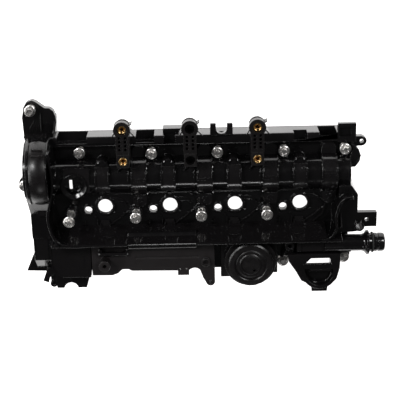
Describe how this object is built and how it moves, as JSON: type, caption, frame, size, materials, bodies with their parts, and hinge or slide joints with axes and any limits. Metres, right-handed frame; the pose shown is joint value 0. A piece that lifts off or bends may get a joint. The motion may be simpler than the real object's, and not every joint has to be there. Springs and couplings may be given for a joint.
{
  "type": "cylinder head cover",
  "caption": "Moulded plastic engine head cover with an oil separator, a pressure regulator, a filler neck, a breather spigot, mounting towers and captive bolts.",
  "frame": {"origin": "middle of the part's box in X and Y, at the bottom of the perimeter gasket", "axes": "+X along the crankshaft from the timing end to the breather spigot, +Y to the side with the mounting towers, +Z away from the cylinder head"},
  "size_m": [0.5134, 0.28, 0.0917],
  "materials": {
    "cover_plastic": "glossy black moulded nylon",
    "lid_plastic": "satin dark grey moulded nylon",
    "rubber": "matte moulded rubber",
    "zinc_steel": "bright zinc plate",
    "brass": "turned brass"
  },
  "bodies": {
    "cover": {"breather_spigot": "cover_plastic", "cover_shell": "cover_plastic", "crossover_duct": "cover_plastic", "drain_valve": "rubber", "end_sleeve_1": "zinc_steel", "end_sleeve_2": "zinc_steel", "front_sleeve_1": "zinc_steel", "front_sleeve_2": "zinc_steel", "harness_clip": "cover_plastic", "harness_eye": "cover_plastic", "injector_seal_1": "rubber", "injector_seal_2": "rubber", "injector_seal_3": "rubber", "injector_seal_4": "rubber", "mount_tower_1": "lid_plastic", "mount_tower_2": "lid_plastic", "mount_tower_3": "lid_plastic", "oil_filler_neck": "cover_plastic", "perimeter_gasket": "rubber", "pipe_clip": "cover_plastic", "rail_sleeve_1": "zinc_steel", "rail_sleeve_2": "zinc_steel", "rail_sleeve_3": "zinc_steel", "rail_sleeve_4": "zinc_steel", "rail_sleeve_5": "zinc_steel", "regulator_cap": "lid_plastic", "regulator_diaphragm": "rubber", "regulator_housing": "lid_plastic", "regulator_spring": "zinc_steel", "separator_baffle": "lid_plastic", "separator_lid": "lid_plastic", "spigot_o_ring": "rubber", "swirl_tube_1": "lid_plastic", "swirl_tube_2": "lid_plastic", "tower_insert_1_back": "brass", "tower_insert_1_front": "brass", "tower_insert_3_back": "brass", "tower_insert_3_front": "brass", "valley_sleeve_1": "zinc_steel", "valley_sleeve_2": "zinc_steel", "valley_sleeve_3": "zinc_steel", "valley_sleeve_4": "zinc_steel"},
    "rail_bolt_1": {"rail_bolt_1": "zinc_steel"},
    "rail_bolt_2": {"rail_bolt_2": "zinc_steel"},
    "rail_bolt_3": {"rail_bolt_3": "zinc_steel"},
    "rail_bolt_4": {"rail_bolt_4": "zinc_steel"},
    "rail_bolt_5": {"rail_bolt_5": "zinc_steel"},
    "valley_bolt_1": {"valley_bolt_1": "zinc_steel"},
    "valley_bolt_2": {"valley_bolt_2": "zinc_steel"},
    "valley_bolt_3": {"valley_bolt_3": "zinc_steel"},
    "valley_bolt_4": {"valley_bolt_4": "zinc_steel"},
    "end_bolt_1": {"end_bolt_1": "zinc_steel"},
    "end_bolt_2": {"end_bolt_2": "zinc_steel"},
    "front_bolt_1": {"front_bolt_1": "zinc_steel"},
    "front_bolt_2": {"front_bolt_2": "zinc_steel"},
    "regulator_plate": {"regulator_plate": "zinc_steel"}
  },
  "joints": [
    {"name": "rail_bolt_1_slide", "type": "slide", "parent": "cover", "child": "rail_bolt_1", "axis": [0, 0, 1], "range_m": [-0.0117, 0.005]},
    {"name": "rail_bolt_2_slide", "type": "slide", "parent": "cover", "child": "rail_bolt_2", "axis": [0, 0, 1], "range_m": [-0.0117, 0.005]},
    {"name": "rail_bolt_3_slide", "type": "slide", "parent": "cover", "child": "rail_bolt_3", "axis": [0, 0, 1], "range_m": [-0.0117, 0.005]},
    {"name": "rail_bolt_4_slide", "type": "slide", "parent": "cover", "child": "rail_bolt_4", "axis": [0, 0, 1], "range_m": [-0.0117, 0.005]},
    {"name": "rail_bolt_5_slide", "type": "slide", "parent": "cover", "child": "rail_bolt_5", "axis": [0, 0, 1], "range_m": [-0.0117, 0.005]},
    {"name": "valley_bolt_1_slide", "type": "slide", "parent": "cover", "child": "valley_bolt_1", "axis": [0, 0, 1], "range_m": [-0.0287, 0.005]},
    {"name": "valley_bolt_2_slide", "type": "slide", "parent": "cover", "child": "valley_bolt_2", "axis": [0, 0, 1], "range_m": [-0.0187, 0.005]},
    {"name": "valley_bolt_3_slide", "type": "slide", "parent": "cover", "child": "valley_bolt_3", "axis": [0, 0, 1], "range_m": [-0.0167, 0.005]},
    {"name": "valley_bolt_4_slide", "type": "slide", "parent": "cover", "child": "valley_bolt_4", "axis": [0, 0, 1], "range_m": [-0.0167, 0.005]},
    {"name": "end_bolt_1_slide", "type": "slide", "parent": "cover", "child": "end_bolt_1", "axis": [0, 0, 1], "range_m": [-0.0097, 0.005]},
    {"name": "end_bolt_2_slide", "type": "slide", "parent": "cover", "child": "end_bolt_2", "axis": [0, 0, 1], "range_m": [-0.0097, 0.005]},
    {"name": "front_bolt_1_slide", "type": "slide", "parent": "cover", "child": "front_bolt_1", "axis": [0, 0, 1], "range_m": [-0.0107, 0.005]},
    {"name": "front_bolt_2_slide", "type": "slide", "parent": "cover", "child": "front_bolt_2", "axis": [0, 0, 1], "range_m": [-0.0107, 0.005]},
    {"name": "regulator_slide", "type": "slide", "parent": "cover", "child": "regulator_plate", "axis": [0, 0, 1], "range_m": [-0.006, 0], "stiffness_N_per_m": 150, "springref_m": 0.01, "deforming": ["regulator_spring"]}
  ]
}
